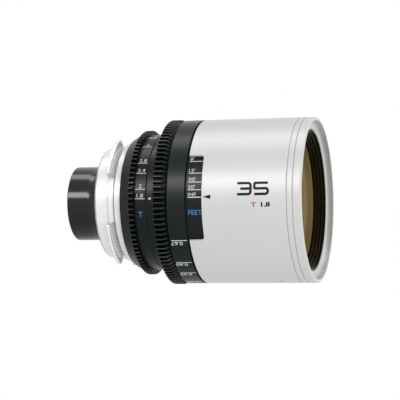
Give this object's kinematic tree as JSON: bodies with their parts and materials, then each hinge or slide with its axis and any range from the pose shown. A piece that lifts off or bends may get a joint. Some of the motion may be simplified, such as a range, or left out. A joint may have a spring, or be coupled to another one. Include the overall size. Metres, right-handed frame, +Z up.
{
  "type": "cinema prime lens",
  "caption": "Fixed focal length cinema lens with a winged bayonet mount, geared focus and iris rings, a scale window in a silver front barrel and an amber coated front glass.",
  "frame": {"origin": "centre of the mount seat, the plane of the rear faces of the four wings, on the optical axis", "axes": "+X along the optical axis towards the front glass, +Z up, the index marks face -Y"},
  "size_m": [0.1221, 0.0808, 0.0808],
  "materials": {
    "mount_steel": "satin",
    "screw_steel": "satin",
    "brass": "satin",
    "silver_anodised": "satin anodised",
    "bare_aluminium": "turned",
    "blued_steel": "matt blackened",
    "white_plastic": "matt",
    "amber_glass": "coated",
    "optical_glass": "coated",
    "black_anodised": "satin anodised"
  },
  "bodies": {
    "lens_body": {"mount_flange": "mount_steel", "mount_screws": "screw_steel", "mount_shim": "brass", "rear_barrel": "black_anodised", "rear_barrel_screws": "screw_steel", "rear_element_a": "optical_glass", "rear_spacer_a": "black_anodised", "rear_element_b": "optical_glass", "rear_spacer_b": "black_anodised", "rear_element_c": "optical_glass", "rear_retaining_ring": "black_anodised", "main_barrel": "bare_aluminium", "iris_base_plate": "blued_steel", "iris_retaining_ring": "black_anodised", "index_ring": "black_anodised", "index_ring_screws": "black_anodised", "focus_thrust_washer": "white_plastic", "focus_stop_screw": "screw_steel", "front_barrel": "silver_anodised", "front_barrel_grub_screws": "screw_steel", "front_cell": "black_anodised", "front_cell_screws": "screw_steel", "front_element": "amber_glass", "front_element_b": "optical_glass", "front_spacer": "black_anodised", "front_element_c": "optical_glass", "front_inner_ring": "black_anodised", "front_stepped_ring": "black_anodised"},
    "focus_drive": {"focus_ring": "black_anodised", "focus_cam_sleeve": "brass", "focus_scale_drum": "black_anodised", "focus_drive_screws": "black_anodised"},
    "focus_group": {"focus_cell": "black_anodised", "focus_element_a": "optical_glass", "focus_spacer": "black_anodised", "focus_element_b": "optical_glass", "focus_retaining_ring": "black_anodised", "cam_follower_pins": "screw_steel", "cam_follower_rollers": "brass"},
    "iris_drive": {"iris_ring": "black_anodised", "iris_drive_pin": "screw_steel", "iris_cam_plate": "blued_steel"},
    "blade_1": {"iris_blade_1": "blued_steel"},
    "blade_2": {"iris_blade_2": "blued_steel"},
    "blade_3": {"iris_blade_3": "blued_steel"},
    "blade_4": {"iris_blade_4": "blued_steel"},
    "blade_5": {"iris_blade_5": "blued_steel"},
    "blade_6": {"iris_blade_6": "blued_steel"},
    "blade_7": {"iris_blade_7": "blued_steel"},
    "blade_8": {"iris_blade_8": "blued_steel"}
  },
  "joints": [
    {"name": "focus_turn", "type": "hinge", "parent": "lens_body", "child": "focus_drive", "pos_m": [0.034, 0, 0], "axis": [1, 0, 0], "range_deg": [0, 150]},
    {"name": "focus_travel", "type": "slide", "parent": "lens_body", "child": "focus_group", "axis": [1, 0, 0], "range_m": [0, 0.006]},
    {"name": "iris_turn", "type": "hinge", "parent": "lens_body", "child": "iris_drive", "pos_m": [0.014, 0, 0], "axis": [1, 0, 0], "range_deg": [0, 100]},
    {"name": "blade_1_swing", "type": "hinge", "parent": "lens_body", "child": "blade_1", "pos_m": [0.01385, 0, -0.0185], "axis": [1, 0, 0], "range_deg": [0, 29.76]},
    {"name": "blade_2_swing", "type": "hinge", "parent": "lens_body", "child": "blade_2", "pos_m": [0.01409, 0.01308, -0.01308], "axis": [1, 0, 0], "range_deg": [0, 29.76]},
    {"name": "blade_3_swing", "type": "hinge", "parent": "lens_body", "child": "blade_3", "pos_m": [0.01433, 0.0185, 0], "axis": [1, 0, 0], "range_deg": [0, 29.76]},
    {"name": "blade_4_swing", "type": "hinge", "parent": "lens_body", "child": "blade_4", "pos_m": [0.01457, 0.01308, 0.01308], "axis": [1, 0, 0], "range_deg": [0, 29.76]},
    {"name": "blade_5_swing", "type": "hinge", "parent": "lens_body", "child": "blade_5", "pos_m": [0.01481, 0, 0.0185], "axis": [1, 0, 0], "range_deg": [0, 29.76]},
    {"name": "blade_6_swing", "type": "hinge", "parent": "lens_body", "child": "blade_6", "pos_m": [0.01505, -0.01308, 0.01308], "axis": [1, 0, 0], "range_deg": [0, 29.76]},
    {"name": "blade_7_swing", "type": "hinge", "parent": "lens_body", "child": "blade_7", "pos_m": [0.01529, -0.0185, 0], "axis": [1, 0, 0], "range_deg": [0, 29.76]},
    {"name": "blade_8_swing", "type": "hinge", "parent": "lens_body", "child": "blade_8", "pos_m": [0.01553, -0.01308, -0.01308], "axis": [1, 0, 0], "range_deg": [0, 29.76]}
  ],
  "couplings": [
    {"joint": "focus_travel", "follows": "focus_turn", "m_per_rad": 0.0022918},
    {"joint": "blade_1_swing", "follows": "iris_turn", "ratio": 0.29755},
    {"joint": "blade_2_swing", "follows": "iris_turn", "ratio": 0.29755},
    {"joint": "blade_3_swing", "follows": "iris_turn", "ratio": 0.29755},
    {"joint": "blade_4_swing", "follows": "iris_turn", "ratio": 0.29755},
    {"joint": "blade_5_swing", "follows": "iris_turn", "ratio": 0.29755},
    {"joint": "blade_6_swing", "follows": "iris_turn", "ratio": 0.29755},
    {"joint": "blade_7_swing", "follows": "iris_turn", "ratio": 0.29755},
    {"joint": "blade_8_swing", "follows": "iris_turn", "ratio": 0.29755}
  ]
}
